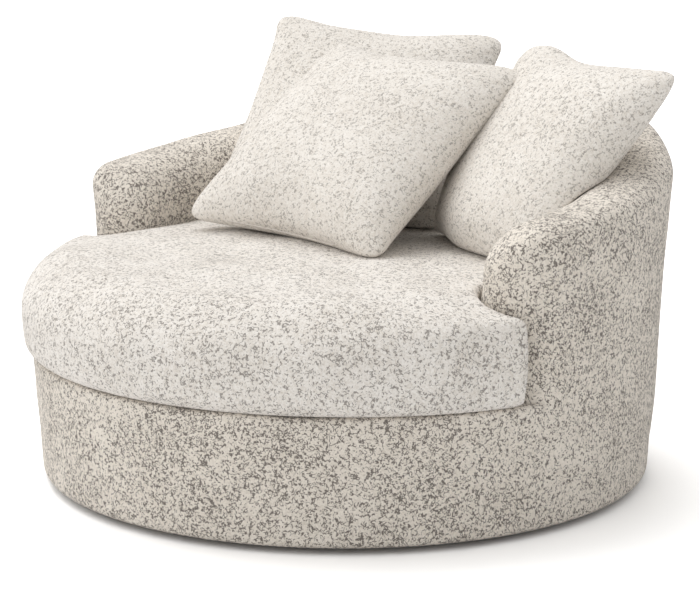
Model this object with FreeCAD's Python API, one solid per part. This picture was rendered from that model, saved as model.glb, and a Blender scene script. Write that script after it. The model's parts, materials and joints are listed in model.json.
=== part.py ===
import FreeCAD, Part
import math
import os

V = FreeCAD.Vector

# All sizes are in millimetres. The floor is z = 0, the front of the chair faces -Y.

# Whole chair
BODY_BOTTOM = 18.0        # gap between the floor and the upholstered body
PLATFORM = 251.0          # top of the round base, where the seat cushion lies
BASE_RADIUS = 601.0       # outer radius at the bottom of the body
BASE_FLARE = 0.059        # how much the outer radius grows per millimetre of height
BASE_ROUND = 18.0         # rounding of the lower edge
COVER = 3.0               # fabric with its backing
HEM_RADIUS = 570.0        # where the cover is turned in under the body
LIP_RADIUS = 582.0        # and where it ends on top of the base

# Wrap-around wall of back and arms
ARM_ANGLE = 75.0          # angle from the front where the arms start
ARM_TOP = 556.0           # crest height at the arm fronts
BACK_RISE = 150.0         # how much higher the crest is at the back
CREST_CURVE = (1.440, -4.266, 15.945, -19.852, 7.733)   # share of the rise along the arm
WALL_INNER = 447.0        # inner radius at platform height
WALL_INNER_FLARE = 0.06
WALL_WIDTH = 168.0        # thickness of the padded wall
OUTER_ROUND = 38.0        # rounding of the crest on the outside, at the arms
OUTER_ROUND_BACK = 56.0   # and at the back
INNER_ROUND = 88.0        # rounding of the crest towards the seat
ARM_FACE = 172.0          # distance of the arm fronts ahead of the centre
NOSE_LENGTH = 60.0        # how far back the arm front is rounded at its top
NOSE_DROP = 52.0
NOSE_ROUND = 83.0         # plan rounding of the arm front, each side
WALL_FOAM = 30.0
FOAM_LIFT = 0.6           # gap between the drum and the foot of the padding

# Wooden frame
RING_OUTER = 585.0
BASE_RING_INNER = 470.0
BASE_RING_Z = (21.2, 36.0)
DECK_INNER = 440.0
DECK_Z = (210.0, 228.0)
RAIL_WIDTH = 70.0
RAIL_Z = (36.0, 96.0)
RAIL_LENGTH = 1160.0
BASE_POST = (60.0, 45.0)  # radial and tangential size
BASE_POST_RADIUS = 550.0
BASE_POSTS = 8
BACK_POST = (66.0, 40.0)
BACK_POST_RADIUS = 543.0
BACK_POSTS = 9
BACK_POST_SPAN = 98.0     # angle from the back to the last post
PANEL = 3.0
BASE_PANEL_FOOT = 24.0
WADDING_INNER = 588.2
TOP_RAIL = (517.0, 575.0)
TOP_RAIL_DROP = 55.0      # from the crest down to the rail
TOP_RAIL_THICK = 18.0
ARM_BOARD = (500.0, 541.0)
ARM_BOARD_Y = (-131.0, -113.0)
ARM_BOARD_TOP = 468.0
ARM_BOARD_ROUND = 18.0
STRAP = (2.2, 50.0)       # webbing thickness and width
STRAP_HEIGHTS = (320.0, 400.0, 480.0)
STRAP_ANGLES = (88.0, 96.0, 112.0)

# Seat suspension
SPRING_LANES = (-300.0, -150.0, 0.0, 150.0, 300.0)
SPRING_WIRE = 3.6
SPRING_TAIL = 60.0        # shortest straight end of a spring
SPRING_PITCH = 92.0
SPRING_SWING = 34.0
SPRING_Z = 231.0
CLIP = (22.0, 26.0, 7.0)
CLIP_SLACK = 0.3
PAD_Z = (240.0, 249.4)
CLOTH_Z = (249.5, 250.9)
EDGE_ROLL_Z = (228.0, 240.0)
DECK_CLOTH_RADIUS = 444.0
FRONT_CLOTH_RADIUS = 581.0
FRONT_CLOTH_Y = -176.0

# Swivel plinth on the floor
GLIDE = (15.0, 6.0)       # radius and height
GLIDE_CIRCLE = 370.0
GLIDES = 8
PLINTH_RADIUS = 400.0
PLINTH_Z = (6.0, 24.0)
PLATE_SIDE = 300.0
PLATE_THICK = 3.0
PLATE_HOLE = 55.0
PLATE_CORNER = 30.0
BALL_CIRCLE = 105.0
BALL_RADIUS = 3.0
BALLS = 24
CAGE_HALF = 7.0
CAGE_THICK = 2.0
SCREW_SPREAD = 125.0
SCREW_RADIUS = 3.0
SCREW_HEAD = (6.0, 2.2)
SCREW_LENGTH = 14.0
BOLT_REACH = 26.0

# Seat cushion
SEAT_BOTTOM = 251.6
SEAT_BULGE = 638.0
SEAT_BACK_RADIUS = 443.0
EAR_BACK = 175.5          # rear face of the two ears, just ahead of the arm fronts
EAR_CORNER = 9.0
SEAT_WRAP = 18.0
SEAT_TOP = 455.5
SEAT_SPHERE = 9266.0      # radius of the crown
SEAT_ZIP = (4.0, 520.0, 1.6)   # width, length and thickness
SEAT_ZIP_HEIGHT = 36.0

# Loose pillows: side, plumpness, centre, facing angle, recline and roll in degrees
PILLOW_EDGE = 5.0
PILLOW_DRAW_IN = 0.05
PILLOWS = {
    "front_pillow": (514.0, 150.0, V(-48.0, 72.0, 633.0), 0.8, 51.7, -3.6),
    "left_pillow": (511.0, 146.0, V(-241.0, 298.0, 657.0), 25.9, 43.2, -3.8),
    "right_pillow": (462.0, 146.0, V(311.0, 257.0, 646.0), -21.1, 35.1, -1.5),
}
PILLOW_COVER = 2.5
FILL_GAP = 0.4
WALL_GAP = 1.0            # clearance left at the dents where pillows lean on the wall
PILLOW_ZIP = (3.0, 300.0, 1.5)
ZIP_GAP = 0.3

# Dust cover under the body
DUST_Z = (19.6, 20.9)
DUST_RADII = (425.0, 569.0)


def outer_radius(z):
    return BASE_RADIUS + BASE_FLARE * (z - BODY_BOTTOM)


def inner_radius(z):
    return WALL_INNER + WALL_INNER_FLARE * (z - PLATFORM)


def crest(angle):
    share = (angle - ARM_ANGLE) / (180.0 - ARM_ANGLE)
    swell = sum(k * share ** (i + 1) for i, k in enumerate(CREST_CURVE))
    return ARM_TOP + BACK_RISE * swell


def at_angle(radius, angle, z):
    a = math.radians(angle)
    return V(radius * math.sin(a), -radius * math.cos(a), z)


def folded(angle):
    return angle if angle <= 180.0 else 360.0 - angle


def disc(radius, z0, z1, centre=(0.0, 0.0)):
    return Part.makeCylinder(radius, z1 - z0, V(centre[0], centre[1], z0))


def ring(inner, outer, z0, z1):
    return disc(outer, z0, z1).cut(disc(inner, z0 - 1.0, z1 + 1.0))


def block(x0, x1, y0, y1, z0, z1):
    return Part.makeBox(x1 - x0, y1 - y0, z1 - z0, V(x0, y0, z0))


def turned(shape, angle):
    copy = shape.copy()
    copy.rotate(V(0, 0, 0), V(0, 0, 1), angle)
    return copy


def around(shape, count, start=0.0):
    return [turned(shape, start + i * 360.0 / count) for i in range(count)]


def save(name, solids):
    shape = solids[0] if len(solids) == 1 else Part.makeCompound(solids)
    shape.exportStep("parts/" + name + ".step")


def profile_solid(edges):
    face = Part.Face(Part.Wire(edges))
    return face.revolve(V(0, 0, 0), V(0, 0, 1), 360.0)


def rz(radius, z):
    return V(radius, 0, z)


def line(a, b):
    return Part.makeLine(a, b)


def bow(a, middle, b):
    return Part.Arc(a, middle, b).toShape()


def outer_round(angle):
    share = min(1.0, max(0.0, (angle - 90.0) / 50.0))
    return OUTER_ROUND + (OUTER_ROUND_BACK - OUTER_ROUND) * share


# Closed outline of the wall: outer foot, outer rounding, flat crest, inner rounding, inner foot
def wall_outline(place, outer, inner, radius_out, radius_in, z_foot, z_top):
    diagonal = 1.0 - math.sqrt(0.5)
    z_out = z_top - radius_out
    z_in = z_top - radius_in
    crest_out = outer(z_out) - radius_out
    crest_in = inner(z_in) + radius_in
    a = place(outer(z_foot), z_foot)
    b = place(outer(z_out), z_out)
    bc = place(outer(z_out) - radius_out * diagonal, z_top - radius_out * diagonal)
    c = place(crest_out, z_top)
    d = place(crest_in, z_top)
    de = place(inner(z_in) + radius_in * diagonal, z_top - radius_in * diagonal)
    e = place(inner(z_in), z_in)
    f = place(inner(z_foot), z_foot)
    return Part.Wire([line(a, b), bow(b, bc, c), line(c, d), bow(d, de, e), line(e, f), line(f, a)])


def round_off(length, depth, position):
    if position >= length:
        return 0.0
    share = (length - position) / length
    return depth * (1.0 - math.sqrt(max(0.0, 1.0 - share * share)))


# Section of one arm, cut parallel to the arm front
def arm_section(side, position, inset, z_foot):
    y = -(ARM_FACE - inset) + position
    middle = (outer_radius(ARM_TOP) + inner_radius(ARM_TOP)) / 2.0
    angle = max(math.degrees(math.acos(-y / middle)), ARM_ANGLE)
    top = crest(angle) - inset
    top -= round_off(NOSE_LENGTH - inset, NOSE_DROP - inset, position)
    cut = round_off(NOSE_ROUND - inset, NOSE_ROUND - inset, position)

    def outer(z):
        return math.sqrt((outer_radius(z) - inset) ** 2 - y * y) - cut

    def inner(z):
        return math.sqrt((inner_radius(z) + inset) ** 2 - y * y) + cut

    def place(x, z):
        return V(side * x, y, z)

    narrow = (outer(top) - inner(top)) / WALL_WIDTH
    return wall_outline(place, outer, inner, outer_round(angle) * narrow, INNER_ROUND * narrow,
                        z_foot, top)


def back_section(angle, inset, z_foot):
    top = crest(folded(angle)) - inset

    def outer(z):
        return outer_radius(z) - inset

    def inner(z):
        return inner_radius(z) + inset

    def place(radius, z):
        return at_angle(radius, angle, z)

    narrow = (outer(top) - inner(top)) / WALL_WIDTH
    return wall_outline(place, outer, inner, outer_round(folded(angle)) * narrow, INNER_ROUND * narrow,
                        z_foot, top)


# Whole wall at a given distance inside its cover, lofted round the back
def wall_solid(inset, z_foot):
    steps = [1.5, 4.0, 10.0, 20.0, 36.0, 58.0, 84.0, 122.0]
    sections = [arm_section(1.0, s, inset, z_foot) for s in steps]
    sections += [back_section(a, inset, z_foot) for a in range(90, 271, 15)]
    sections += [arm_section(-1.0, s, inset, z_foot) for s in reversed(steps)]
    return Part.makeLoft(sections, True, False)


def wall_cover():
    return wall_solid(0.0, PLATFORM).cut(wall_solid(COVER, PLATFORM - 6.0))


def wall_foam():
    foot = PLATFORM + FOAM_LIFT
    return wall_solid(COVER, foot).cut(wall_solid(COVER + WALL_FOAM, foot - 6.0))


# Strip that follows the wall, with its lower and upper edge given at each angle
def curved_strip(r0, r1, low, high, first, last, steps):
    sections = []
    for i in range(steps + 1):
        angle = first + (last - first) * i / steps
        z0 = low(angle)
        z1 = high(angle)
        corners = [at_angle(r0, angle, z0), at_angle(r1, angle, z0),
                   at_angle(r1, angle, z1), at_angle(r0, angle, z1)]
        sections.append(Part.makePolygon(corners + [corners[0]]))
    return Part.makeLoft(sections, True, False)


def top_rail():
    def high(angle):
        return crest(folded(angle)) - TOP_RAIL_DROP

    def low(angle):
        return high(angle) - TOP_RAIL_THICK

    return curved_strip(TOP_RAIL[0], TOP_RAIL[1], low, high, 80.0, 280.0, 16)


def outer_panel():
    def low(angle):
        return DECK_Z[1] + 1.0

    def high(angle):
        return crest(folded(angle)) - TOP_RAIL_DROP - TOP_RAIL_THICK - 4.0

    radius = BACK_POST_RADIUS + BACK_POST[0] / 2.0 + 0.4
    return curved_strip(radius, radius + PANEL, low, high, 80.0, 280.0, 18)


def inner_straps():
    straps = []
    outer = BACK_POST_RADIUS - BACK_POST[0] / 2.0
    for z, first in zip(STRAP_HEIGHTS, STRAP_ANGLES):
        whole = ring(outer - STRAP[0], outer, z - STRAP[1] / 2.0, z + STRAP[1] / 2.0)
        a = at_angle(1500.0, first, z)
        b = at_angle(1500.0, 360.0 - first, z)
        wedge = Part.makePolygon([V(0, 0, z), a, V(1500, 1500, z), V(-1500, 1500, z), b, V(0, 0, z)])
        sector = Part.Face(wedge).extrude(V(0, 0, STRAP[1] * 2.0))
        sector.translate(V(0, 0, -STRAP[1]))
        straps.append(whole.common(sector).Solids[0])
    return straps


def back_posts():
    posts = []
    half_width = BACK_POST[1] / 2.0
    near = BACK_POST_RADIUS - BACK_POST[0] / 2.0
    far = BACK_POST_RADIUS + BACK_POST[0] / 2.0
    reach = math.degrees(half_width / BACK_POST_RADIUS)
    for i in range(BACK_POSTS):
        angle = 180.0 + BACK_POST_SPAN * (2.0 * i / (BACK_POSTS - 1) - 1.0)
        lowest = min(crest(folded(angle - reach)), crest(folded(angle + reach)))
        top = lowest - TOP_RAIL_DROP - TOP_RAIL_THICK - 1.0
        post = block(-half_width, half_width, -far, -near, DECK_Z[1], top)
        post = post.common(ring(near, far, DECK_Z[1] - 1.0, top + 1.0))
        posts.append(turned(post.Solids[0], angle))
    return posts


def arm_boards():
    board = block(ARM_BOARD[0], ARM_BOARD[1], ARM_BOARD_Y[0], ARM_BOARD_Y[1], DECK_Z[1], ARM_BOARD_TOP)
    middle = sum(ARM_BOARD_Y) / 2.0
    top_ends = [e for e in board.Edges if abs(e.CenterOfMass.z - ARM_BOARD_TOP) < 1.0
                and abs(e.CenterOfMass.y - middle) < 1.0]
    board = board.makeFillet(ARM_BOARD_ROUND, top_ends)
    return [board, board.mirror(V(0, 0, 0), V(1, 0, 0))]


def base_posts():
    half = BASE_POST[1] / 2.0
    post = block(-half, half, -BASE_POST_RADIUS - BASE_POST[0] / 2.0,
                 -BASE_POST_RADIUS + BASE_POST[0] / 2.0, BASE_RING_Z[1], DECK_Z[0])
    return around(post, BASE_POSTS, 180.0 / BASE_POSTS)


def cross_rails():
    half = RAIL_WIDTH / 2.0
    middle = sum(RAIL_Z) / 2.0
    long_rail = block(-RAIL_LENGTH / 2.0, RAIL_LENGTH / 2.0, -half, half, RAIL_Z[0], RAIL_Z[1])
    long_rail = long_rail.cut(block(-half, half, -half, half, middle, RAIL_Z[1]))
    short_rail = block(-half, half, -RAIL_LENGTH / 2.0, RAIL_LENGTH / 2.0, RAIL_Z[0], RAIL_Z[1])
    short_rail = short_rail.cut(block(-half, half, -half, half, RAIL_Z[0], middle))
    holes = Part.makeCompound([bolt(x, y, 0.05) for x, y in bolt_places()])
    return long_rail.cut(holes), short_rail.cut(holes)


# Round outside of the base, with its rolled lower edge
def base_profile(inset):
    z0 = BODY_BOTTOM + inset
    r_low = outer_radius(BODY_BOTTOM + BASE_ROUND) - inset
    r_top = outer_radius(PLATFORM) - inset
    radius = BASE_ROUND - inset
    centre = (r_low - radius, z0 + radius)
    diagonal = radius * math.sqrt(0.5)
    start = rz(centre[0], z0)
    middle = rz(centre[0] + diagonal, centre[1] - diagonal)
    end = rz(r_low, centre[1])
    return start, middle, end, r_top


def base_cover():
    a, ab, b, r_top = base_profile(0.0)
    a2, ab2, b2, r_top2 = base_profile(COVER)
    hem = rz(HEM_RADIUS, BODY_BOTTOM)
    hem2 = rz(HEM_RADIUS, BODY_BOTTOM + COVER)
    under = PLATFORM - COVER
    edges = [line(hem, a), bow(a, ab, b), line(b, rz(r_top, PLATFORM)),
             line(rz(r_top, PLATFORM), rz(LIP_RADIUS, PLATFORM)),
             line(rz(LIP_RADIUS, PLATFORM), rz(LIP_RADIUS, under)),
             line(rz(LIP_RADIUS, under), rz(r_top2, under)),
             line(rz(r_top2, under), b2), bow(b2, ab2, a2), line(a2, hem2), line(hem2, hem)]
    return profile_solid(edges)


def base_wadding():
    foot = rz(outer_radius(BODY_BOTTOM + BASE_ROUND) - COVER, BODY_BOTTOM + BASE_ROUND)
    top = PLATFORM - COVER
    r_top = outer_radius(PLATFORM) - COVER
    edges = [line(rz(WADDING_INNER, foot.z), foot), line(foot, rz(r_top, top)),
             line(rz(r_top, top), rz(WADDING_INNER, top)),
             line(rz(WADDING_INNER, top), rz(WADDING_INNER, foot.z))]
    return profile_solid(edges)


# Deck area in plan: the round well inside the wall and the wide front
def deck_plan(z0, z1):
    half = FRONT_CLOTH_RADIUS
    wide = disc(half, z0, z1).common(block(-half, half, -half, FRONT_CLOTH_Y, z0, z1))
    return disc(DECK_CLOTH_RADIUS, z0, z1).fuse(wide).removeSplitter()


def edge_roll():
    half = FRONT_CLOTH_RADIUS
    low, high = EDGE_ROLL_Z
    front = block(-half, half, -half, FRONT_CLOTH_Y, low, high)
    return ring(DECK_INNER + 30.0, half, low, high).common(front)


def spring_reach(lane):
    return math.sqrt((DECK_INNER + 14.0) ** 2 - lane * lane)


# Moves a run of level lines and arcs sideways, to the left of its direction
def moved_aside(run, distance):
    moved = []
    for kind, edge in run:
        first, last = edge.FirstParameter, edge.LastParameter
        points = []
        for at in (first, (first + last) / 2.0, last):
            along = edge.tangentAt(at)
            points.append(edge.valueAt(at) + V(-along.y, along.x, 0) * distance)
        moved.append(line(points[0], points[2]) if kind == "line" else bow(*points))
    return moved


# Level wire of square section along a run of lines and arcs
def bent_wire(run, thickness):
    left = moved_aside(run, thickness / 2.0)
    right = moved_aside(run, -thickness / 2.0)
    start = line(left[0].valueAt(left[0].FirstParameter), right[0].valueAt(right[0].FirstParameter))
    end = line(left[-1].valueAt(left[-1].LastParameter), right[-1].valueAt(right[-1].LastParameter))
    outline = Part.Wire(Part.sortEdges(left + right + [start, end])[0])
    solid = Part.Face(outline).extrude(V(0, 0, thickness))
    solid.translate(V(0, 0, -thickness / 2.0))
    return solid


# Zigzag spring: straight runs across, joined by round turns, with a straight tail at each end
def spring(lane):
    reach = spring_reach(lane)
    turn = SPRING_PITCH / 4.0
    count = int((2.0 * (reach - SPRING_TAIL)) / (2.0 * turn)) // 2 * 2
    y = -turn * count

    def at(x, y):
        return V(lane + x, y, SPRING_Z)

    bend = turn * (1.0 - math.sqrt(0.5))
    run = [("line", line(at(0, -reach), at(0, y - turn))),
           ("bow", bow(at(0, y - turn), at(bend, y - bend), at(turn, y))),
           ("line", line(at(turn, y), at(SPRING_SWING, y)))]
    side = 1.0
    for i in range(count):
        far = side * SPRING_SWING
        run.append(("bow", bow(at(far, y), at(far + side * turn, y + turn), at(far, y + 2.0 * turn))))
        y += 2.0 * turn
        if i < count - 1:
            run.append(("line", line(at(far, y), at(-far, y))))
        side = -side
    run.append(("line", line(at(-SPRING_SWING, y), at(-turn, y))))
    run.append(("bow", bow(at(-turn, y), at(-bend, y + bend), at(0, y + turn))))
    run.append(("line", line(at(0, y + turn), at(0, reach))))
    return bent_wire(run, SPRING_WIRE)


def spring_clips():
    clips = []
    half = CLIP[0] / 2.0
    slot = SPRING_WIRE / 2.0 + CLIP_SLACK
    for lane in SPRING_LANES:
        for end in (-1.0, 1.0):
            y = end * (spring_reach(lane) - CLIP[1] / 2.0 + 1.0)
            y0 = y - CLIP[1] / 2.0
            y1 = y + CLIP[1] / 2.0
            clip = block(lane - half, lane + half, y0, y1, DECK_Z[1], DECK_Z[1] + CLIP[2])
            groove = block(lane - slot, lane + slot, y0 - 1.0, y1 + 1.0, SPRING_Z - slot, SPRING_Z + slot)
            clips.append(clip.cut(groove))
    return clips


def plate(z0, places, hole):
    half = PLATE_SIDE / 2.0
    sheet = block(-half, half, -half, half, z0, z0 + PLATE_THICK)
    upright = [e for e in sheet.Edges if abs(e.Vertexes[0].Z - e.Vertexes[-1].Z) > 1.0]
    sheet = sheet.makeFillet(PLATE_CORNER, upright)
    sheet = sheet.cut(disc(PLATE_HOLE, z0 - 1.0, z0 + PLATE_THICK + 1.0))
    for x, y in places:
        sheet = sheet.cut(disc(hole, z0 - 1.0, z0 + PLATE_THICK + 1.0, (x, y)))
    return sheet


def screw_places():
    return [(sx * SCREW_SPREAD, sy * SCREW_SPREAD) for sx in (-1, 1) for sy in (-1, 1)]


def bolt_places():
    return [(SCREW_SPREAD, 0.0), (-SCREW_SPREAD, 0.0), (0.0, SCREW_SPREAD), (0.0, -SCREW_SPREAD)]


# Flat-head screw through the lower plate into the plinth board
def screw(x, y, slack):
    top = PLINTH_Z[1] + PLATE_THICK
    shank = disc(SCREW_RADIUS + slack, top - SCREW_LENGTH - slack, top, (x, y))
    head = disc(SCREW_HEAD[0] + slack, top, top + SCREW_HEAD[1], (x, y))
    return shank.fuse(head)


# Bolt through the upper plate into the cross rails
def bolt(x, y, slack):
    bottom = PLINTH_Z[1] + PLATE_THICK + 2.0 * BALL_RADIUS
    shank = disc(SCREW_RADIUS + slack, bottom, bottom + BOLT_REACH + slack, (x, y))
    head = disc(SCREW_HEAD[0] + slack, bottom - SCREW_HEAD[1], bottom, (x, y))
    return shank.fuse(head)


def plinth_board():
    board = disc(PLINTH_RADIUS, PLINTH_Z[0], PLINTH_Z[1])
    rims = [e for e in board.Edges if e.Length > 1000.0]
    board = board.makeFillet(2.0, rims)
    for x, y in screw_places():
        board = board.cut(screw(x, y, 0.05))
    return board


def bearing_cage():
    z = PLINTH_Z[1] + PLATE_THICK + BALL_RADIUS
    cage = ring(BALL_CIRCLE - CAGE_HALF, BALL_CIRCLE + CAGE_HALF, z - CAGE_THICK / 2.0,
                z + CAGE_THICK / 2.0)
    pockets = around(Part.makeSphere(BALL_RADIUS + 0.3, V(BALL_CIRCLE, 0, z)), BALLS)
    return cage.cut(Part.makeCompound(pockets))


def bearing_balls():
    z = PLINTH_Z[1] + PLATE_THICK + BALL_RADIUS
    return around(Part.makeSphere(BALL_RADIUS - 0.05, V(BALL_CIRCLE, 0, z)), BALLS)


# Height of the crowned seat at a given radius, part of one large sphere
def crown(radius, inset):
    drop = SEAT_SPHERE - math.sqrt(SEAT_SPHERE ** 2 - radius ** 2)
    return SEAT_TOP - inset - drop


def crown_arc(radius, inset):
    return bow(rz(radius, crown(radius, inset)), rz(radius / 2.0, crown(radius / 2.0, inset)),
               rz(0.0, crown(0.0, inset)))


# Wide front of the cushion, full and rounded towards the edge
def seat_front_profile(inset):
    i = inset
    low = SEAT_BOTTOM + i
    foot = rz(614.0 - i, low)
    widest = rz(SEAT_BULGE - i, 328.0)
    brow = rz(603.0 - 0.8 * i, 406.0 - 0.6 * i)
    shoulder = rz(500.0, crown(500.0, i))
    return [line(rz(0.0, low), foot), bow(foot, rz(632.0 - i, 284.0), widest),
            bow(widest, rz(628.5 - i, 372.0), brow),
            bow(brow, rz(556.0 - 0.4 * i, 430.0 - 0.9 * i), shoulder),
            crown_arc(500.0, i), line(rz(0.0, crown(0.0, i)), rz(0.0, low))]


# Round rear of the cushion, following the inside of the wall up to its shoulder
def seat_rear_profile(inset):
    i = inset
    low = SEAT_BOTTOM + i
    foot = rz(SEAT_BACK_RADIUS - 12.0 - i, low)
    waist = rz(SEAT_BACK_RADIUS + 1.0 - i, 292.0)
    shoulder = rz(SEAT_BACK_RADIUS + 7.0 - i, 410.0 - 0.4 * i)
    edge = SEAT_BACK_RADIUS - 13.0 - i
    top = rz(edge, crown(edge, i))
    return [line(rz(0.0, low), foot), bow(foot, rz(SEAT_BACK_RADIUS - 2.5 - i, 270.0), waist),
            line(waist, shoulder),
            bow(shoulder, rz(SEAT_BACK_RADIUS + 3.5 - i, 433.0 - 0.9 * i), top),
            crown_arc(edge, i), line(rz(0.0, crown(0.0, i)), rz(0.0, low))]


# Plan of the wide front of the cushion, with its rounded ear corners
def ear_plan(inset):
    y = -(EAR_BACK + inset)
    outer = SEAT_BULGE - inset
    corner = max(EAR_CORNER - 0.4 * inset, 4.0)
    yc = y - corner
    xc = math.sqrt((outer - corner) ** 2 - yc * yc)
    reach = math.hypot(xc, yc)
    touch = V(xc / reach * outer, yc / reach * outer, 0)
    turn = math.atan2(touch.y - yc, touch.x - xc)
    middle_angle = (math.pi / 2.0 + turn) / 2.0
    middle = V(xc + corner * math.cos(middle_angle), yc + corner * math.sin(middle_angle), 0)
    far = V(touch.x * 1.05, touch.y * 1.05, 0)

    def flip(p):
        return V(-p.x, p.y, p.z)

    start = V(xc, y, 0)
    front = V(0, -outer * 1.05, 0)
    edges = [line(flip(start), start), bow(start, middle, touch), line(touch, far),
             bow(far, front, flip(far)), line(flip(far), flip(touch)),
             bow(flip(touch), flip(middle), flip(start))]
    face = Part.Face(Part.Wire(edges))
    solid = face.extrude(V(0, 0, 400.0))
    solid.translate(V(0, 0, 150.0))
    return solid


def seat_solid(inset):
    front = profile_solid(seat_front_profile(inset)).common(ear_plan(inset))
    rear = profile_solid(seat_rear_profile(inset))
    return front.fuse(rear).removeSplitter().Solids[0]


def seat_zip():
    radius = SEAT_BACK_RADIUS + 1.3
    z0 = SEAT_BOTTOM + SEAT_ZIP_HEIGHT
    tape = ring(radius, radius + SEAT_ZIP[2], z0, z0 + SEAT_ZIP[0])
    half = SEAT_ZIP[1] / 2.0
    return tape.common(block(-half, half, 0.0, radius * 2.0, z0, z0 + SEAT_ZIP[0]))


# Section across a pillow at one height: two thin edges and a full middle
def pillow_section(half_width, half_thick, height):
    w = half_width
    h = half_thick
    right = V(w, 0, height)
    left = V(-w, 0, height)

    def face_edges(a, b, sign):
        k = 1.0 if a.x > b.x else -1.0
        first = V(k * 0.92 * w, sign * 0.36 * h, height)
        shoulder = V(k * 0.80 * w, sign * 0.62 * h, height)
        top = V(0, sign * h, height)
        shoulder2 = V(-k * 0.80 * w, sign * 0.62 * h, height)
        last = V(-k * 0.92 * w, sign * 0.36 * h, height)
        return [bow(a, first, shoulder), bow(shoulder, top, shoulder2), bow(shoulder2, last, b)]

    return Part.Wire(face_edges(left, right, 1.0) + face_edges(right, left, -1.0))


# Radius and centre height of the curve along a drawn-in edge
def edge_curve(half):
    scoop = half * PILLOW_DRAW_IN
    radius = (half * half + scoop * scoop) / (2.0 * scoop)
    return radius, half - scoop + radius


def pillow_solid(side, thickness, inset):
    half = side / 2.0 - inset
    steps = (-1.0, -0.95, -0.84, -0.66, -0.38, 0.0, 0.38, 0.66, 0.84, 0.95, 1.0)
    sections = []
    for t in steps:
        fullness = (1.0 - abs(t) ** 2.6) ** 0.62 if abs(t) < 1.0 else 0.0
        edge = max(PILLOW_EDGE - inset, 1.6)
        thick = edge + (thickness / 2.0 - PILLOW_EDGE) * fullness
        width = half * (1.0 - PILLOW_DRAW_IN * (1.0 - t * t))
        sections.append(pillow_section(width, thick, half * t))
    solid = Part.makeLoft(sections, True, False)
    radius, centre = edge_curve(half)
    for sign in (1.0, -1.0):
        start = V(0, -side / 2.0, sign * centre)
        solid = solid.cut(Part.makeCylinder(radius, side, start, V(0, 1, 0)))
    return solid


def stand(shape, centre, facing, recline, roll):
    shape = shape.copy()
    shape.rotate(V(0, 0, 0), V(0, 1, 0), -roll)
    shape.rotate(V(0, 0, 0), V(1, 0, 0), -recline)
    shape.rotate(V(0, 0, 0), V(0, 0, 1), facing)
    shape.translate(centre)
    return shape


# Zip along the lower edge, on the same curve as the edge
def pillow_zip(side):
    radius, centre = edge_curve(side / 2.0)
    start = V(0, -PILLOW_ZIP[0] / 2.0, -centre)
    outer = Part.makeCylinder(radius - ZIP_GAP, PILLOW_ZIP[0], start, V(0, 1, 0))
    inner = Part.makeCylinder(radius - ZIP_GAP - PILLOW_ZIP[2], PILLOW_ZIP[0], start, V(0, 1, 0))
    half = PILLOW_ZIP[1] / 2.0
    return outer.cut(inner).common(block(-half, half, -PILLOW_ZIP[0], PILLOW_ZIP[0], -side, 0.0))


# Loose pillows, dented where they lean on the wall
def make_pillows():
    dents = [wall_solid(-gap, PLATFORM) for gap in (WALL_GAP, WALL_GAP + PILLOW_COVER,
                                                    WALL_GAP + PILLOW_COVER + FILL_GAP)]
    for name, (side, thickness, centre, facing, recline, roll) in PILLOWS.items():
        insets = (0.0, PILLOW_COVER, PILLOW_COVER + FILL_GAP)
        pose = (centre, facing, recline, roll)
        outside, hollow, fill = [stand(pillow_solid(side, thickness, i), *pose) for i in insets]
        if name != "front_pillow":
            outside = outside.cut(dents[0])
            hollow = hollow.cut(dents[1])
            fill = fill.cut(dents[2])
        save(name + "_cover", [outside.cut(hollow)])
        save(name + "_fill", [fill])
        save(name + "_zip", [stand(pillow_zip(side), *pose)])


def make_plinth():
    z = PLINTH_Z[1]
    save("plinth_board", [plinth_board()])
    glide = disc(GLIDE[0], 0.0, GLIDE[1], (GLIDE_CIRCLE, 0.0))
    save("plinth_glides", around(glide, GLIDES, 22.5) + [disc(GLIDE[0], 0.0, GLIDE[1])])
    save("plinth_screws", [screw(x, y, 0.0) for x, y in screw_places()])
    save("bearing_lower_plate", [plate(z, screw_places(), SCREW_RADIUS + 0.05)])
    save("bearing_balls", bearing_balls())
    save("bearing_cage", [bearing_cage()])
    z_upper = z + PLATE_THICK + 2.0 * BALL_RADIUS
    save("bearing_upper_plate", [plate(z_upper, bolt_places(), SCREW_RADIUS + 0.05)])
    save("bearing_bolts", [bolt(x, y, 0.0) for x, y in bolt_places()])


def make_base():
    long_rail, short_rail = cross_rails()
    save("base_ring", [ring(BASE_RING_INNER, RING_OUTER, BASE_RING_Z[0], BASE_RING_Z[1])])
    save("cross_rail_long", [long_rail])
    save("cross_rail_short", [short_rail])
    save("base_posts", base_posts())
    save("deck_ring", [ring(DECK_INNER, RING_OUTER, DECK_Z[0], DECK_Z[1])])
    save("base_panel", [ring(RING_OUTER, RING_OUTER + PANEL, BASE_PANEL_FOOT, DECK_Z[1])])
    save("base_wadding", [base_wadding()])
    save("base_cover", [base_cover()])
    save("dust_cover", [ring(DUST_RADII[0], DUST_RADII[1], DUST_Z[0], DUST_Z[1])])
    save("seat_springs", [spring(lane) for lane in SPRING_LANES])
    save("spring_clips", spring_clips())
    save("edge_roll", [edge_roll()])
    save("deck_pad", [deck_plan(PAD_Z[0], PAD_Z[1])])
    save("deck_cloth", [deck_plan(CLOTH_Z[0], CLOTH_Z[1])])


def make_wall():
    save("back_posts", back_posts())
    save("arm_boards", arm_boards())
    save("top_rail", [top_rail()])
    save("outer_panel", [outer_panel()])
    save("inner_straps", inner_straps())
    save("wall_foam", [wall_foam()])
    save("wall_cover", [wall_cover()])


def make_seat():
    outside = seat_solid(0.0)
    lining = seat_solid(COVER)
    core = seat_solid(SEAT_WRAP)
    save("seat_cover", [outside.cut(lining)])
    save("seat_wrap", [lining.cut(core)])
    save("seat_core", [core])
    save("seat_zip", [seat_zip()])


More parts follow.
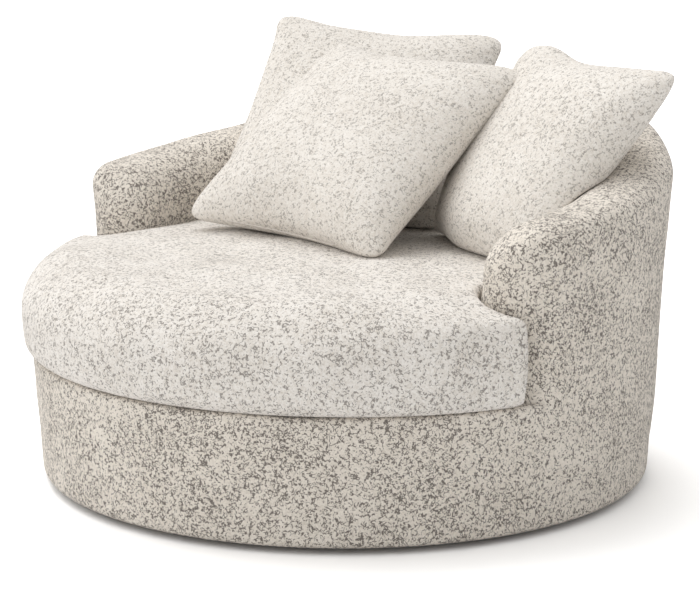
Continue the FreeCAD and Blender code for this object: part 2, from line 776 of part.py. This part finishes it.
os.makedirs("parts", exist_ok=True)
make_plinth()
make_base()
make_wall()
make_seat()
make_pillows()
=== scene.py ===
import json
import math

import bpy
import numpy as np
from mathutils import Matrix, Vector


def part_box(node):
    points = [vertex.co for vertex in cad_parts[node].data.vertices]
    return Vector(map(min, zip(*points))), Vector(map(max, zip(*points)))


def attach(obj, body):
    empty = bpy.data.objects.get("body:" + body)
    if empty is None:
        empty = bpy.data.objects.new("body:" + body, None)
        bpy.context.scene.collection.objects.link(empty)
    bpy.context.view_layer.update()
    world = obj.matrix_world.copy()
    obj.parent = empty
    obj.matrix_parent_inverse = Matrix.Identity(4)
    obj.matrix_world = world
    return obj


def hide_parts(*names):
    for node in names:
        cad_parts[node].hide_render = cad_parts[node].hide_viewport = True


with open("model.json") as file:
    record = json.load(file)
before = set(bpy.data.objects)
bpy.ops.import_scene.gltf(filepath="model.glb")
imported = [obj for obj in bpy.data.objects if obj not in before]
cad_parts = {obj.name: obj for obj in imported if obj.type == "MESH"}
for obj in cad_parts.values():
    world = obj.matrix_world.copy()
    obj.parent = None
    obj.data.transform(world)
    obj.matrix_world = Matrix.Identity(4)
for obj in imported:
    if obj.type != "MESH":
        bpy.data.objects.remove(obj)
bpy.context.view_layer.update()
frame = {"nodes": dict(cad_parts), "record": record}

# Sizes in metres, worked out from the frame
FLOOR_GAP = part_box("base_cover")[0].z
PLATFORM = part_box("base_cover")[1].z
CREST_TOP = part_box("wall_cover")[1].z
ARM_FACE = -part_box("wall_cover")[0].y
BASE_RADIUS = 0.601
BASE_FLARE = 0.059
WALL_INNER = 0.447
WALL_INNER_FLARE = 0.06
ARM_ANGLE = 75.0
ARM_TOP = 0.556
CREST_OUTER = 0.038
CREST_INNER = 0.090
NOSE_OUTER = 0.086
ARM_SLIM = 0.004
CREST_CURVE = (1.440, -4.266, 15.945, -19.852, 7.733)
SKIN_INNER = 0.583
SEAT_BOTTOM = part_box("seat_cover")[0].z
SEAT_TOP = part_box("seat_cover")[1].z
SEAT_BULGE = -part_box("seat_cover")[0].y
SEAT_BACK_RADIUS = 0.443
SEAT_SPHERE = 9.266
EAR_BACK = 0.1745
SEAT_WAIST = 0.328
SEAT_TUCK = 0.0030
HEM_DROP = 0.007

# Camera
VIEW_TARGET = (0.0068, 0.0063, 0.3359)
VIEW_FROM = (2.8844, -3.0796, 1.1897)
LENS = 111.6

# Soft room light, stronger from the left of the view, and one soft sun
ROOM_LIGHT = 0.66
WINDOW_LIGHT = 0.75
WINDOW_SIDE = (-0.70, -0.66, 0.28)
FLOOR_SEEN = 1.35
BACKDROP_SEEN = 1.2
SUN_FROM = (-0.40, 0.14, 0.90)
SUN_STRENGTH = 1.30
SUN_ANGLE = 40.0

BODY_STEP = 0.0065
SEAT_STEP = 0.0075


def smooth_waves(seed, count, low, high):
    rng = np.random.default_rng(seed)
    directions = rng.normal(size=(count, 3))
    directions /= np.linalg.norm(directions, axis=1)[:, None]
    lengths = np.exp(rng.uniform(np.log(low), np.log(high), count))
    phases = rng.uniform(0.0, 2.0 * math.pi, count)
    return directions * (2.0 * math.pi / lengths)[:, None], phases


def waves(points, table):
    vectors, phases = table
    total = np.zeros(points[0].shape)
    for v, phase in zip(vectors, phases):
        total += np.sin(points[0] * v[0] + points[1] * v[1] + points[2] * v[2] + phase)
    return total / math.sqrt(len(phases))


def ramp(x, low, high):
    t = np.clip((x - low) / (high - low), 0.0, 1.0)
    return t * t * (3.0 - 2.0 * t)


# Two fields joined with a rounded outer edge, or blended into each other
def rounded_meet(a, b, radius):
    u = np.maximum(a + radius, 0.0)
    v = np.maximum(b + radius, 0.0)
    return np.minimum(np.maximum(a, b), -radius) + np.sqrt(u * u + v * v)


def blended_union(a, b, width):
    h = np.clip(0.5 + 0.5 * (b - a) / width, 0.0, 1.0)
    return b * (1.0 - h) + a * h - width * h * (1.0 - h)


def outer_radius(z):
    return BASE_RADIUS + BASE_FLARE * (z - FLOOR_GAP)


def inner_radius(z):
    return WALL_INNER + WALL_INNER_FLARE * (z - PLATFORM)


def crest(angle):
    share = np.clip((angle - ARM_ANGLE) / (180.0 - ARM_ANGLE), 0.0, 1.0)
    swell = sum(k * share ** (i + 1) for i, k in enumerate(CREST_CURVE))
    return ARM_TOP + (CREST_TOP - ARM_TOP) * swell


BODY_WAVES = smooth_waves(3, 14, 0.10, 0.34)


def wall_field(x, y, z):
    r = np.sqrt(x * x + y * y)
    angle = np.degrees(np.arctan2(np.abs(x), -y))
    front = -(y + ARM_FACE)
    outside = rounded_meet(r - outer_radius(z), front, NOSE_OUTER)
    back = ramp(angle, 90.0, 140.0)
    edge = CREST_OUTER + 0.020 * back + 0.050 * (1.0 - back) * ramp(-r, -0.605, -0.535)
    top = rounded_meet(outside, z - crest(angle), edge)
    slim = ARM_SLIM * (1.0 - ramp(y, -ARM_FACE, 0.10 - ARM_FACE))
    return rounded_meet(top, inner_radius(z) + slim - r, CREST_INNER)


def body_field(x, y, z):
    r = np.sqrt(x * x + y * y)
    outer = r - outer_radius(z)
    base = rounded_meet(outer, FLOOR_GAP - HEM_DROP - z, 0.016)
    base = rounded_meet(base, z - PLATFORM, 0.010)
    wall = np.maximum(wall_field(x, y, z), 0.10 - z)
    solid = blended_union(base, wall, 0.004)
    cavity = np.maximum(r - SKIN_INNER, z - (PLATFORM - 0.002))
    soft = 0.0016 * waves((x, y, z), BODY_WAVES)
    return np.maximum(solid + soft * ramp(z, 0.03, 0.12), -cavity)


def crown(radius):
    return SEAT_TOP - SEAT_SPHERE + np.sqrt(SEAT_SPHERE ** 2 - radius ** 2)


SEAT_WAVES = smooth_waves(11, 16, 0.12, 0.42)


# Thick cushion: full round brow in front, crisp towards its two ears, fitted to the wall behind
def seat_field(x, y, z):
    r = np.sqrt(x * x + y * y)
    angle = np.degrees(np.arctan2(np.abs(x), -y))
    ear = ramp(angle, 30.0, 74.0)
    waist = ((z - SEAT_WAIST) / 0.076) ** 2
    side = r - (SEAT_BULGE - 0.003 - 0.008 * np.minimum(waist, 1.6) - 0.008 * ear)
    sag = np.where(x > 0.0, 0.024, 0.014) * ear * ramp(r, 0.46, 0.60)
    height = crown(np.minimum(r, 0.64)) - sag
    tuck = SEAT_TUCK - wall_field(x, y, z)
    back = np.maximum(y + EAR_BACK - 0.15 * (1.0 - ramp(r, 0.46, 0.54)), tuck)
    front = rounded_meet(side, back, 0.006)
    brow = 0.102 - 0.088 * ear
    front = rounded_meet(rounded_meet(front, z - height, brow), SEAT_BOTTOM - z, 0.030 - 0.018 * ear)
    rear = rounded_meet(tuck, r - 0.50, 0.010)
    rear = rounded_meet(rear, z - (height - 0.001), 0.012)
    rear = rounded_meet(rear, SEAT_BOTTOM - z, 0.020)
    solid = np.minimum(front, np.maximum(rear, -(y + EAR_BACK + 0.05)))
    soft = 0.0020 * waves((x, y, z), SEAT_WAVES) * ramp(z, SEAT_BOTTOM + 0.01, SEAT_BOTTOM + 0.09)
    return solid + soft


# Quad mesh of the surface where a field is zero, by joining the cells it passes through
def surface_mesh(name, field, low, high, step):
    axes = [np.arange(low[i], high[i] + step, step) for i in range(3)]
    grid = np.meshgrid(*axes, indexing="ij")
    values = field(*grid)
    solid = values < 0.0
    corners = [(a, b, c) for a in (0, 1) for b in (0, 1) for c in (0, 1)]
    n = np.array(values.shape) - 1
    count = np.zeros(n, int)
    for a, b, c in corners:
        count += solid[a:a + n[0], b:b + n[1], c:c + n[2]]
    cells = np.argwhere((count > 0) & (count < 8))
    number = np.full(n, -1)
    number[tuple(cells.T)] = np.arange(len(cells))
    total = np.zeros((len(cells), 3))
    hits = np.zeros(len(cells))
    for axis in range(3):
        along = np.eye(3, dtype=int)[axis]
        for start in corners:
            if start[axis]:
                continue
            p = cells + start
            q = p + along
            fp = values[tuple(p.T)]
            fq = values[tuple(q.T)]
            crossing = (fp < 0) != (fq < 0)
            t = np.where(crossing, fp / np.where(fp == fq, 1.0, fp - fq), 0.0)
            total += np.where(crossing[:, None], start + t[:, None] * along, 0.0)
            hits += crossing
    points = (cells + total / hits[:, None]) * step + np.array([a[0] for a in axes])
    quads = []
    for axis in range(3):
        u, v = [np.eye(3, dtype=int)[(axis + k) % 3] for k in (1, 2)]
        along = np.eye(3, dtype=int)[axis]
        size = np.array(values.shape) - along
        a = solid[:size[0], :size[1], :size[2]]
        b = solid[along[0]:, along[1]:, along[2]:]
        for flips, chosen in ((False, a & ~b), (True, ~a & b)):
            at = np.argwhere(chosen)
            ok = np.all(at - u - v >= 0, axis=1) & np.all(at < n, axis=1)
            at = at[ok]
            ring = [number[tuple((at - k).T)] for k in (u * 0, u, u + v, v)]
            ring = ring[::-1] if flips else ring
            quads.append(np.stack(ring, axis=1))
    quads = np.concatenate(quads)
    quads = quads[np.all(quads >= 0, axis=1)]
    for _ in range(3):
        points = onto_surface(points, field, step * 0.2)
    mesh = bpy.data.meshes.new(name)
    mesh.from_pydata(points.tolist(), [], quads.tolist())
    mesh.update()
    return new_object(name, mesh)


def gradient(points, field, gap):
    parts = []
    for axis in range(3):
        shift = np.zeros(3)
        shift[axis] = gap
        parts.append(field(*(points + shift).T) - field(*(points - shift).T))
    return np.stack(parts, axis=1) / (2.0 * gap)


def onto_surface(points, field, gap):
    slope = gradient(points, field, gap)
    size = np.maximum((slope * slope).sum(axis=1), 0.2)
    move = field(*points.T) / size
    return points - np.clip(move, -gap * 3, gap * 3)[:, None] * slope


def new_object(name, mesh, smooth=True):
    obj = bpy.data.objects.new(name, mesh)
    bpy.context.scene.collection.objects.link(obj)
    if smooth:
        mesh.polygons.foreach_set("use_smooth", [True] * len(mesh.polygons))
    return obj


def vertices(obj):
    points = np.empty(len(obj.data.vertices) * 3)
    obj.data.vertices.foreach_get("co", points)
    return points.reshape(-1, 3)


def set_vertices(obj, points):
    obj.data.vertices.foreach_set("co", np.ascontiguousarray(points).reshape(-1))
    obj.data.update()


# Pillow: two sheets on one square grid, joined along the seam and pulled into its slump
PILLOW_GRID = 80
PILLOW_SWELL = 0.004
PILLOW_PRESSURE = 4.0
PILLOW_STIFFNESS = 12.0
CORNERS_AND_EDGES = [(-1, 1, 0.38), (1, 1, 0.38), (1, -1, 0.38), (-1, -1, 0.38),
                     (0, 1, 0.36), (1, 0, 0.36), (0, -1, 0.36), (-1, 0, 0.36)]


class Pillow:
    def __init__(self, name, side, plump, low, centre, turns, pulls, tweaks):
        self.name = name
        self.side = side
        self.plump = plump
        self.low = low
        places = CORNERS_AND_EDGES + [t[0] for t in tweaks]
        self.pulls = list(zip(places, pulls + [t[1] for t in tweaks]))
        facing, recline, roll = [math.radians(t) for t in turns]
        turn = Matrix.Rotation(facing, 4, "Z")
        lean = Matrix.Rotation(-recline, 4, "X")
        tilt = Matrix.Rotation(-roll, 4, "Y")
        self.matrix = Matrix.Translation(centre) @ turn @ lean @ tilt

    def shape(self, s, t, face):
        x = s - 0.045 * s ** 3 * (1.0 - t * t)
        z = t - 0.045 * t ** 3 * (1.0 - s * s)
        near = (np.clip((np.abs(s) - 0.8) / 0.2, 0, 1) * np.clip((np.abs(t) - 0.8) / 0.2, 0, 1)) ** 2
        x -= 0.050 * np.sign(s) * near
        z -= 0.050 * np.sign(t) * near
        fullness = ((1.0 - np.abs(s) ** 2.5) * (1.0 - np.abs(t) ** 2.5)) ** 0.5
        y = -face * self.plump / 2.0 * fullness * (1.0 - self.low * t)
        half = self.side / 2.0
        points = np.stack([x * half, y, z * half], axis=-1)
        for (at_s, at_t, reach), move in self.pulls:
            weight = np.exp(-((s - at_s) ** 2 + (t - at_t) ** 2) / (2.0 * reach * reach))
            points += weight[..., None] * np.array(move)
        return points

    def build(self):
        n = PILLOW_GRID
        line = np.sin(np.linspace(-1, 1, n + 1) * math.pi / 2 * 0.8) / math.sin(math.pi / 2 * 0.8)
        s, t = np.meshgrid(line, line, indexing="ij")
        front = self.shape(s, t, 1.0).reshape(-1, 3)
        back = self.shape(s, t, -1.0).reshape(-1, 3)
        rim = (np.abs(s) > 0.9999) | (np.abs(t) > 0.9999)
        rim = rim.reshape(-1)
        count = (n + 1) ** 2
        index = np.arange(count)
        other = np.where(rim, index, 0)
        other[~rim] = count + np.arange((~rim).sum())
        points = np.concatenate([front, back[~rim]])
        grid = index.reshape(n + 1, n + 1)
        a, b = grid[:-1, :-1].ravel(), grid[1:, :-1].ravel()
        c, d = grid[1:, 1:].ravel(), grid[:-1, 1:].ravel()
        front_faces = np.stack([a, b, c, d], axis=1)
        back_faces = other[np.stack([a, d, c, b], axis=1)]
        mesh = bpy.data.meshes.new(self.name)
        mesh.from_pydata(points.tolist(), [], np.concatenate([front_faces, back_faces]).tolist())
        mesh.update()
        obj = new_object(self.name, mesh)
        self.rim = rim
        return obj


# Inflates a soft piece with a short cloth simulation and keeps how far it moves
def inflate(obj, pressure, reach, stiffness):
    before = vertices(obj)
    cloth = obj.modifiers.new("Cloth", "CLOTH")
    settings = cloth.settings
    settings.quality = 4
    settings.mass = 0.3
    settings.use_pressure = True
    settings.uniform_pressure_force = pressure
    settings.tension_stiffness = stiffness
    settings.compression_stiffness = stiffness
    settings.shear_stiffness = stiffness / 2
    settings.bending_stiffness = 0.6
    settings.effector_weights.gravity = 0.0
    cloth.collision_settings.use_collision = False
    scene = bpy.context.scene
    cloth.point_cache.frame_start = 1
    cloth.point_cache.frame_end = 20
    for f in range(1, 21):
        scene.frame_set(f)
    done = obj.evaluated_get(bpy.context.evaluated_depsgraph_get()).to_mesh()
    after = np.empty(len(done.vertices) * 3)
    done.vertices.foreach_get("co", after)
    after = after.reshape(-1, 3)
    obj.modifiers.remove(cloth)
    scene.frame_set(1)
    move = after - before
    size = np.linalg.norm(move, axis=1)
    scale = reach * np.tanh(size / reach) / np.maximum(size, 1e-9)
    set_vertices(obj, before + move * scale[:, None])


# Pushes a piece out of another shape that it leans on
def press_against(obj, field, gap):
    world = np.array(obj.matrix_world)
    local = vertices(obj)
    points = local @ world[:3, :3].T + world[:3, 3]
    for _ in range(4):
        depth = gap - field(*points.T)
        touched = depth > 0
        slope = gradient(points[touched], field, 0.002)
        slope /= np.maximum(np.linalg.norm(slope, axis=1), 1e-6)[:, None]
        points[touched] += slope * depth[touched][:, None]
    back = np.linalg.inv(world)
    set_vertices(obj, points @ back[:3, :3].T + back[:3, 3])


def subdivide(obj, levels=1):
    sub = obj.modifiers.new("Subdivision", "SUBSURF")
    sub.levels = levels
    sub.render_levels = levels


# Material building blocks
def material(name):
    m = bpy.data.materials.new(name)
    m.use_nodes = True
    tree = m.node_tree
    shader = tree.nodes["Principled BSDF"]
    return m, tree, shader


def node(tree, kind, settings=None, **inputs):
    n = tree.nodes.new(kind)
    for key, value in (settings or {}).items():
        setattr(n, key, value)
    for key, value in inputs.items():
        socket = n.inputs[key.replace("_", " ")] if key.replace("_", " ") in n.inputs else n.inputs[key]
        if isinstance(value, bpy.types.NodeSocket):
            tree.links.new(value, socket)
        else:
            socket.default_value = value
    return n


def maths(tree, kind, a, b=0.0, c=0.0):
    n = tree.nodes.new("ShaderNodeMath")
    n.operation = kind
    for socket, value in zip(n.inputs, (a, b, c)):
        if isinstance(value, bpy.types.NodeSocket):
            tree.links.new(value, socket)
        else:
            socket.default_value = value
    return n.outputs[0]


def mix_colour(tree, factor, a, b, blend="MIX"):
    n = tree.nodes.new("ShaderNodeMix")
    n.data_type = "RGBA"
    n.blend_type = blend
    for name, value in (("Factor_Float", factor), ("A_Color", a), ("B_Color", b)):
        socket = next(s for s in n.inputs if s.identifier == name)
        if isinstance(value, bpy.types.NodeSocket):
            tree.links.new(value, socket)
        else:
            socket.default_value = (*value, 1.0) if name != "Factor_Float" and len(value) == 3 else value
    return next(s for s in n.outputs if s.identifier == "Result_Color")


def soft_step(tree, value, low, high):
    n = tree.nodes.new("ShaderNodeMapRange")
    n.interpolation_type = "SMOOTHSTEP"
    tree.links.new(value, n.inputs["Value"])
    for name, number in (("From Min", low), ("From Max", high)):
        if isinstance(number, bpy.types.NodeSocket):
            tree.links.new(number, n.inputs[name])
        else:
            n.inputs[name].default_value = number
    return n.outputs["Result"]


def stretched(tree, coords, scale):
    n = tree.nodes.new("ShaderNodeVectorMath")
    n.operation = "MULTIPLY"
    tree.links.new(coords, n.inputs[0])
    n.inputs[1].default_value = scale
    return n.outputs[0]


def noise(tree, coords, scale, detail=2.0, rough=0.5, distortion=0.0):
    n = node(tree, "ShaderNodeTexNoise", {"noise_dimensions": "3D"},
             Scale=scale, Detail=detail, Roughness=rough, Distortion=distortion)
    tree.links.new(coords, n.inputs["Vector"])
    return n


def moved(tree, coords, offset):
    n = tree.nodes.new("ShaderNodeVectorMath")
    n.operation = "ADD"
    tree.links.new(coords, n.inputs[0])
    n.inputs[1].default_value = offset
    return n.outputs[0]


# Woven chenille: pale pile yarn with short wandering dark flecks in every direction
def chenille(name, light, shade, fleck, amount, low, bump, patchy):
    m, tree, shader = material(name)
    coords = tree.nodes.new("ShaderNodeTexCoord").outputs["Object"]
    patches = noise(tree, coords, 9.0, 3.0, 0.6)
    fleck_low = maths(tree, "MULTIPLY_ADD", patches.outputs["Fac"], -patchy, low + patchy / 2.0)
    sets = [(112.0, 0.052, 105.0, (0.0, 0.0, 0.0)), (128.0, 0.056, 122.0, (0.31, 0.17, 0.53)),
            (146.0, 0.060, 140.0, (0.73, 0.41, 0.29))]
    dark = None
    for scale, width, cut, offset in sets:
        place = moved(tree, coords, offset)
        line = noise(tree, place, scale, 1.0, 0.4)
        near = maths(tree, "ABSOLUTE", maths(tree, "SUBTRACT", line.outputs["Fac"], 0.5))
        thin = maths(tree, "SUBTRACT", 1.0, soft_step(tree, near, width * 0.4, width))
        piece = noise(tree, place, cut, 1.0, 0.5)
        above = maths(tree, "SUBTRACT", piece.outputs["Fac"], fleck_low)
        one = maths(tree, "MULTIPLY", thin, soft_step(tree, above, 0.0, 0.06))
        dark = one if dark is None else maths(tree, "MAXIMUM", dark, one)
    pile = noise(tree, coords, 330.0, 2.0, 0.6)
    yarn = noise(tree, coords, 130.0, 2.0, 0.5, 1.2)
    tone = maths(tree, "ADD", soft_step(tree, pile.outputs["Fac"], 0.35, 0.72),
                 soft_step(tree, yarn.outputs["Fac"], 0.35, 0.75))
    tone = maths(tree, "MULTIPLY_ADD", patches.outputs["Fac"], 0.5, maths(tree, "MULTIPLY", tone, 0.36))
    ground = mix_colour(tree, maths(tree, "SUBTRACT", tone, 0.22), light, shade)
    colour = mix_colour(tree, maths(tree, "MULTIPLY", dark, amount), ground, fleck)
    tree.links.new(colour, shader.inputs["Base Color"])
    shader.inputs["Roughness"].default_value = 0.95
    shader.inputs["Specular IOR Level"].default_value = 0.12
    shader.inputs["Sheen Weight"].default_value = 0.20
    shader.inputs["Sheen Roughness"].default_value = 0.45
    shader.inputs["Sheen Tint"].default_value = (1.0, 0.97, 0.94, 1.0)
    height = maths(tree, "MULTIPLY_ADD", pile.outputs["Fac"], 0.8, yarn.outputs["Fac"])
    height = maths(tree, "SUBTRACT", height, maths(tree, "MULTIPLY", dark, 0.4))
    relief = node(tree, "ShaderNodeBump", None, Strength=bump, Distance=0.004)
    tree.links.new(height, relief.inputs["Height"])
    tree.links.new(relief.outputs["Normal"], shader.inputs["Normal"])
    return m


def paint(obj, mat):
    obj.data.materials.clear()
    obj.data.materials.append(mat)


SHADE = (0.60, 0.54, 0.465)
BODY_FABRIC = chenille("body_chenille", light=(0.86, 0.80, 0.72), shade=SHADE,
                       fleck=(0.13, 0.112, 0.098), amount=0.88, low=0.505, bump=0.60, patchy=0.20)
SEAT_FABRIC = chenille("seat_chenille", light=(0.885, 0.85, 0.805), shade=SHADE,
                       fleck=(0.17, 0.15, 0.135), amount=0.74, low=0.545, bump=0.50, patchy=0.14)
PILLOW_FABRIC = chenille("pillow_chenille", light=(0.855, 0.82, 0.77), shade=SHADE,
                         fleck=(0.21, 0.19, 0.17), amount=0.60, low=0.56, bump=0.42, patchy=0.08)


def make_body():
    reach = outer_radius(CREST_TOP) + 0.02
    obj = surface_mesh("body_upholstery", body_field, (-reach, -reach, FLOOR_GAP - 0.02),
                       (reach, reach, CREST_TOP + 0.02), BODY_STEP)
    paint(obj, BODY_FABRIC)
    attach(obj, "chair")
    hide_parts("base_cover", "base_wadding", "wall_cover", "wall_foam")
    return obj


def make_seat():
    reach = SEAT_BULGE + 0.02
    obj = surface_mesh("seat_cushion", seat_field, (-reach, -reach, SEAT_BOTTOM - 0.02),
                       (reach, SEAT_BACK_RADIUS + 0.03, SEAT_TOP + 0.02), SEAT_STEP)
    paint(obj, SEAT_FABRIC)
    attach(obj, "seat_cushion")
    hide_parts("seat_cover", "seat_wrap", "seat_core")
    return obj


def make_pillow(pillow):
    obj = pillow.build()
    inflate(obj, PILLOW_PRESSURE, PILLOW_SWELL, PILLOW_STIFFNESS)
    obj.matrix_world = pillow.matrix
    bpy.context.view_layer.update()
    press_against(obj, seat_field, 0.001)
    press_against(obj, body_field, 0.0015)
    subdivide(obj)
    paint(obj, PILLOW_FABRIC)
    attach(obj, pillow.name.replace("_cushion", ""))
    stem = pillow.name.replace("_cushion", "")
    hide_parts(stem + "_cover", stem + "_fill")
    return obj


PILLOWS = [
    Pillow("front_pillow_cushion", 0.517, 0.164, 0.10, (-0.066, 0.101, 0.630), (1.2, 51.3, -3.0),
           [(-0.010, -0.001, -0.013), (0.015, 0.004, 0.015), (0.002, -0.003, -0.015),
            (-0.033, 0.004, -0.007), (-0.005, -0.002, -0.004), (-0.001, 0.006, -0.009),
            (0.002, 0.014, 0.009), (-0.005, -0.009, 0.004)],
           [((-1, 1, 0.16), (0.007, -0.006, 0.016)), ((-0.72, 1, 0.15), (0.003, -0.005, 0.011)),
            ((1, 1, 0.14), (-0.001, 0.005, -0.005)), ((1, -1, 0.16), (0.004, 0.004, 0.003))]),
    Pillow("left_pillow_cushion", 0.530, 0.144, 0.12, (-0.241, 0.294, 0.645), (25.7, 43.3, -4.5),
           [(0.006, -0.007, 0.014), (0.005, -0.001, 0.004), (-0.001, -0.009, 0.010),
            (-0.005, 0.013, -0.018), (0.020, 0.012, -0.006), (0.001, 0.000, 0.001),
            (0.000, 0.001, -0.002), (0.000, 0.009, -0.011)],
           [((-1, 1, 0.16), (-0.008, 0.000, -0.006)), ((-0.6, 1, 0.20), (0.003, 0.005, -0.007)),
            ((1, 1, 0.14), (-0.001, 0.003, -0.004))]),
    Pillow("right_pillow_cushion", 0.466, 0.153, 0.07, (0.309, 0.218, 0.631), (-19.3, 37.6, -1.0),
           [(-0.008, -0.010, -0.002), (0.010, 0.012, 0.003), (0.000, -0.001, 0.000),
            (0.012, 0.015, 0.022), (-0.005, -0.002, -0.011), (-0.003, -0.004, 0.001),
            (-0.008, -0.019, -0.016), (0.000, -0.001, 0.001)],
           [((-1, 1, 0.20), (-0.004, -0.004, -0.007)), ((-0.6, 1, 0.20), (-0.002, -0.008, 0.010)),
            ((1, 1, 0.14), (0.002, 0.001, 0.002))]),
]

make_body()
make_seat()
for p in PILLOWS:
    make_pillow(p)


# Plain materials for the frame parts
def grainy(name, light, dark, scale, rough, stretch=(1.0, 1.0, 0.1)):
    m, tree, shader = material(name)
    coords = tree.nodes.new("ShaderNodeTexCoord").outputs["Object"]
    rings = noise(tree, stretched(tree, coords, stretch), scale, 6.0, 0.6, 0.4)
    fine = noise(tree, stretched(tree, coords, stretch), scale * 9, 3.0, 0.6)
    tone = maths(tree, "ADD", rings.outputs["Fac"], maths(tree, "MULTIPLY", fine.outputs["Fac"], 0.4))
    colour = mix_colour(tree, soft_step(tree, tone, 0.45, 0.95), light, dark)
    tree.links.new(colour, shader.inputs["Base Color"])
    shader.inputs["Roughness"].default_value = rough
    relief = node(tree, "ShaderNodeBump", None, Strength=0.3, Distance=0.001)
    tree.links.new(fine.outputs["Fac"], relief.inputs["Height"])
    tree.links.new(relief.outputs["Normal"], shader.inputs["Normal"])
    return m


# Grain that runs the same in every direction
EVEN = (1, 1, 1)

SLOT_MATERIALS = {
    "plywood": grainy("plywood", (0.68, 0.50, 0.31), (0.46, 0.31, 0.18), 14.0, 0.6),
    "timber": grainy("timber", (0.72, 0.55, 0.36), (0.52, 0.36, 0.21), 11.0, 0.7),
    "fibreboard": grainy("fibreboard", (0.22, 0.14, 0.09), (0.13, 0.08, 0.05), 60.0, 0.8, EVEN),
    "zinc_steel": grainy("zinc_steel", (0.60, 0.61, 0.62), (0.42, 0.43, 0.45), 90.0, 0.35, (1, 0.06, 1)),
    "ball_steel": grainy("ball_steel", (0.70, 0.71, 0.72), (0.55, 0.56, 0.58), 200.0, 0.15, EVEN),
    "spring_steel": grainy("spring_steel", (0.14, 0.14, 0.15), (0.07, 0.07, 0.075), 120.0, 0.4, EVEN),
    "dark_plastic": grainy("dark_plastic", (0.030, 0.030, 0.032), (0.018, 0.018, 0.02), 300.0, 0.55, EVEN),
    "foam": grainy("foam", (0.82, 0.74, 0.50), (0.72, 0.63, 0.38), 260.0, 0.9, EVEN),
    "fibre_fill": grainy("fibre_fill", (0.82, 0.82, 0.81), (0.68, 0.68, 0.67), 140.0, 0.95, EVEN),
    "body_fabric": BODY_FABRIC,
    "seat_fabric": SEAT_FABRIC,
    "pillow_fabric": PILLOW_FABRIC,
    "lining_cloth": grainy("lining_cloth", (0.045, 0.045, 0.048), (0.02, 0.02, 0.022), 500.0, 0.85, EVEN),
    "webbing": grainy("webbing", (0.08, 0.065, 0.05), (0.04, 0.03, 0.025), 500.0, 0.85, EVEN),
    "zip_tape": grainy("zip_tape", (0.55, 0.51, 0.46), (0.40, 0.36, 0.32), 500.0, 0.7, EVEN),
}
SLOT_METAL = {"zinc_steel", "ball_steel", "spring_steel"}
for slot_name in SLOT_METAL:
    SLOT_MATERIALS[slot_name].node_tree.nodes["Principled BSDF"].inputs["Metallic"].default_value = 1.0
for entry in frame["record"]["subparts"]:
    target = frame["nodes"].get(entry["node"])
    if target is not None:
        paint(target, SLOT_MATERIALS[entry["material_slot"]])


# Floor, lights and camera
def make_floor():
    mesh = bpy.data.meshes.new("studio_floor")
    s = 30.0
    mesh.from_pydata([(-s, -s, 0), (s, -s, 0), (s, s, 0), (-s, s, 0)], [], [(0, 1, 2, 3)])
    obj = new_object("studio_floor", mesh, False)
    m, tree, shader = material("studio_floor")
    rays = tree.nodes.new("ShaderNodeLightPath")
    tree.links.new(mix_colour(tree, rays.outputs["Is Camera Ray"], (0.80, 0.80, 0.80), (FLOOR_SEEN,) * 3),
                   shader.inputs["Base Color"])
    shader.inputs["Roughness"].default_value = 1.0
    shader.inputs["Specular IOR Level"].default_value = 0.0
    paint(obj, m)


# Soft light from far away; toward is the direction to the lamp
def soft_sun(name, toward, strength, angle):
    data = bpy.data.lights.new(name, "SUN")
    data.energy = strength
    data.angle = math.radians(angle)
    obj = bpy.data.objects.new(name, data)
    obj.rotation_euler = (-Vector(toward)).to_track_quat("-Z", "Y").to_euler()
    bpy.context.scene.collection.objects.link(obj)


def make_world():
    world = bpy.data.worlds.new("studio")
    world.use_nodes = True
    tree = world.node_tree
    tree.nodes.clear()
    rays = tree.nodes.new("ShaderNodeLightPath")
    seen = node(tree, "ShaderNodeBackground", None, Color=(1, 1, 1, 1), Strength=BACKDROP_SEEN)
    toward = tree.nodes.new("ShaderNodeVectorMath")
    toward.operation = "DOT_PRODUCT"
    tree.links.new(tree.nodes.new("ShaderNodeTexCoord").outputs["Generated"], toward.inputs[0])
    toward.inputs[1].default_value = WINDOW_SIDE
    side = maths(tree, "MAXIMUM", toward.outputs["Value"], 0.0)
    strength = maths(tree, "MULTIPLY_ADD", maths(tree, "POWER", side, 1.5), WINDOW_LIGHT, ROOM_LIGHT)
    lit = node(tree, "ShaderNodeBackground", None, Color=(1, 0.995, 0.99, 1), Strength=strength)
    mix = tree.nodes.new("ShaderNodeMixShader")
    out = tree.nodes.new("ShaderNodeOutputWorld")
    tree.links.new(rays.outputs["Is Camera Ray"], mix.inputs[0])
    tree.links.new(lit.outputs[0], mix.inputs[1])
    tree.links.new(seen.outputs[0], mix.inputs[2])
    tree.links.new(mix.outputs[0], out.inputs[0])
    bpy.context.scene.world = world


def make_camera():
    data = bpy.data.cameras.new("camera")
    data.sensor_width = 36.0
    data.lens = LENS
    data.clip_end = 100.0
    obj = bpy.data.objects.new("camera", data)
    obj.location = VIEW_FROM
    direction = Vector(VIEW_TARGET) - Vector(VIEW_FROM)
    obj.rotation_euler = direction.to_track_quat("-Z", "Y").to_euler()
    bpy.context.scene.collection.objects.link(obj)
    bpy.context.scene.camera = obj


make_floor()
make_world()
soft_sun("overhead", SUN_FROM, SUN_STRENGTH, SUN_ANGLE)
make_camera()
bpy.context.scene.view_settings.view_transform = "Standard"
